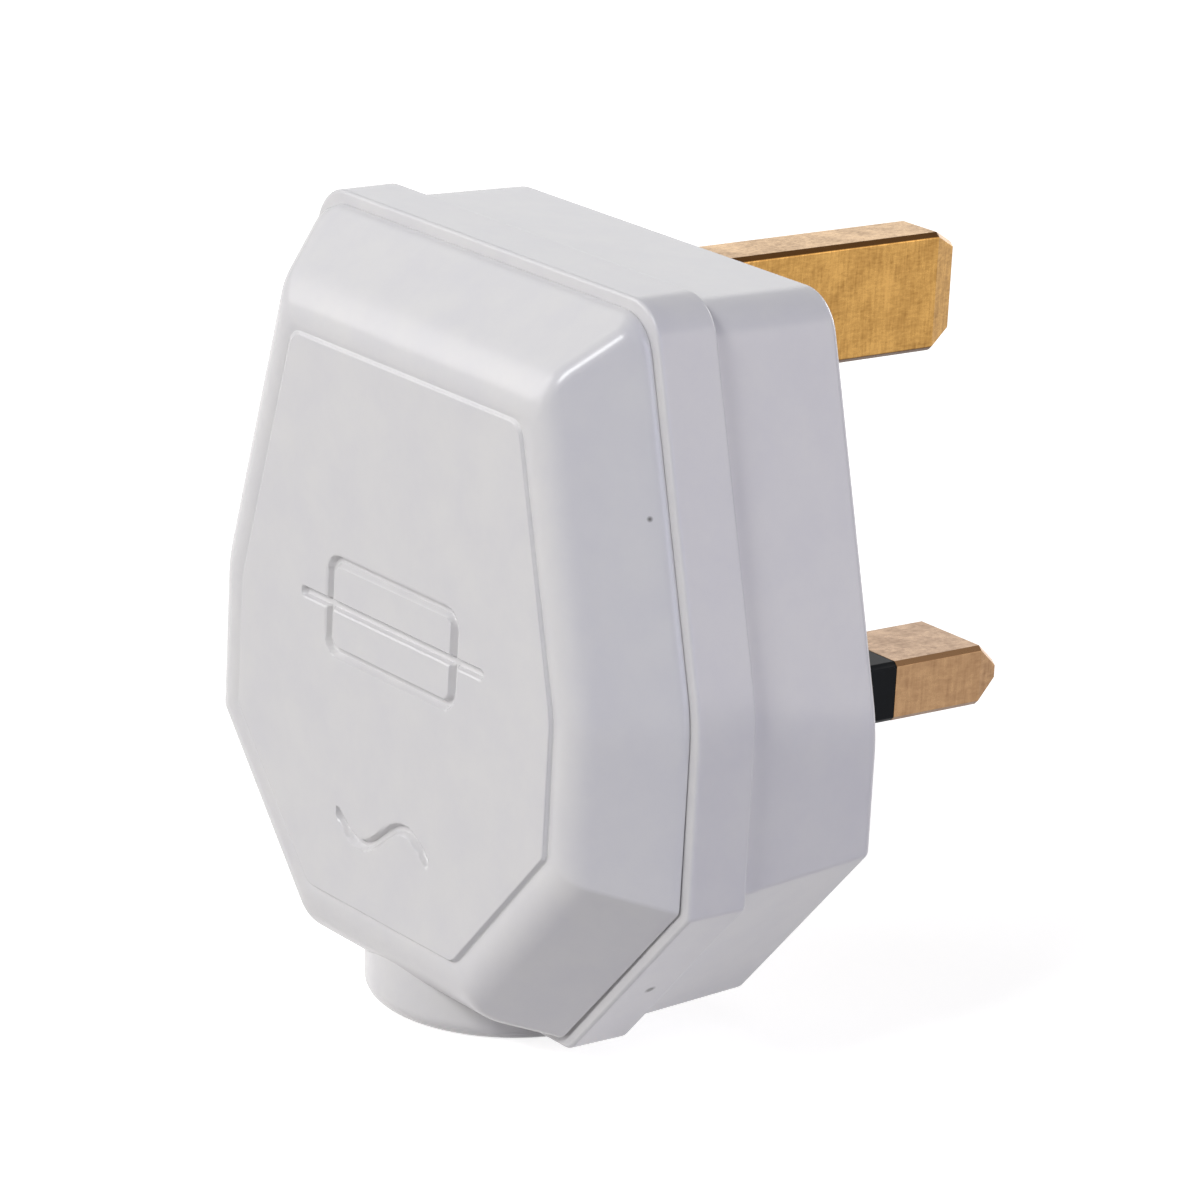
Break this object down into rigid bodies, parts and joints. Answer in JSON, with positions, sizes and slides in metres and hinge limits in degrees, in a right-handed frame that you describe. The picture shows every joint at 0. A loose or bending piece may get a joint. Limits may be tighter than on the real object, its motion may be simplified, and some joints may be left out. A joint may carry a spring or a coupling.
{
  "type": "uk three pin plug",
  "caption": "Rewirable three pin mains plug with a bevelled cover, rectangular brass pins, sleeved line pins, a cartridge fuse and a round cord collar.",
  "frame": {"origin": "middle of the pin face, on the centre line, level with the live and neutral pins", "axes": "+Y the way the pins point, +Z from the live and neutral pins towards the earth pin, +X to the live pin's side, on the right when the cover is faced"},
  "size_m": [0.0482, 0.0432, 0.0504],
  "materials": {
    "body_plastic": "moulded urea, satin, pale grey white",
    "sleeve_plastic": "black moulded nylon sleeve",
    "brass": "bare brass, finely brushed along the pin",
    "plated_steel": "zinc plated",
    "spring_clip": "rolled phosphor bronze strip",
    "nickel_cap": "nickel plated, bright",
    "fuse_ceramic": "plain fired ceramic",
    "fuse_wire": "silvered wire",
    "grip_plastic": "moulded nylon bar",
    "fibre": "red vulcanised fibre washer"
  },
  "bodies": {
    "root": {"base": "body_plastic", "cover": "body_plastic", "earth_pin": "brass", "neutral_pin": "brass", "live_pin": "brass", "neutral_sleeve": "sleeve_plastic", "live_sleeve": "sleeve_plastic", "earth_screw": "plated_steel", "neutral_screw": "plated_steel", "live_screw": "plated_steel", "live_terminal": "brass", "lower_fuse_clip": "spring_clip", "upper_fuse_clip": "spring_clip", "clip_rivets": "brass", "fuse_tube": "fuse_ceramic", "fuse_caps": "nickel_cap", "fuse_element": "fuse_wire", "cord_grip": "grip_plastic", "grip_screws": "plated_steel", "cover_screw": "plated_steel", "screw_retainer": "fibre", "cover_insert": "brass"}
  },
  "joints": []
}
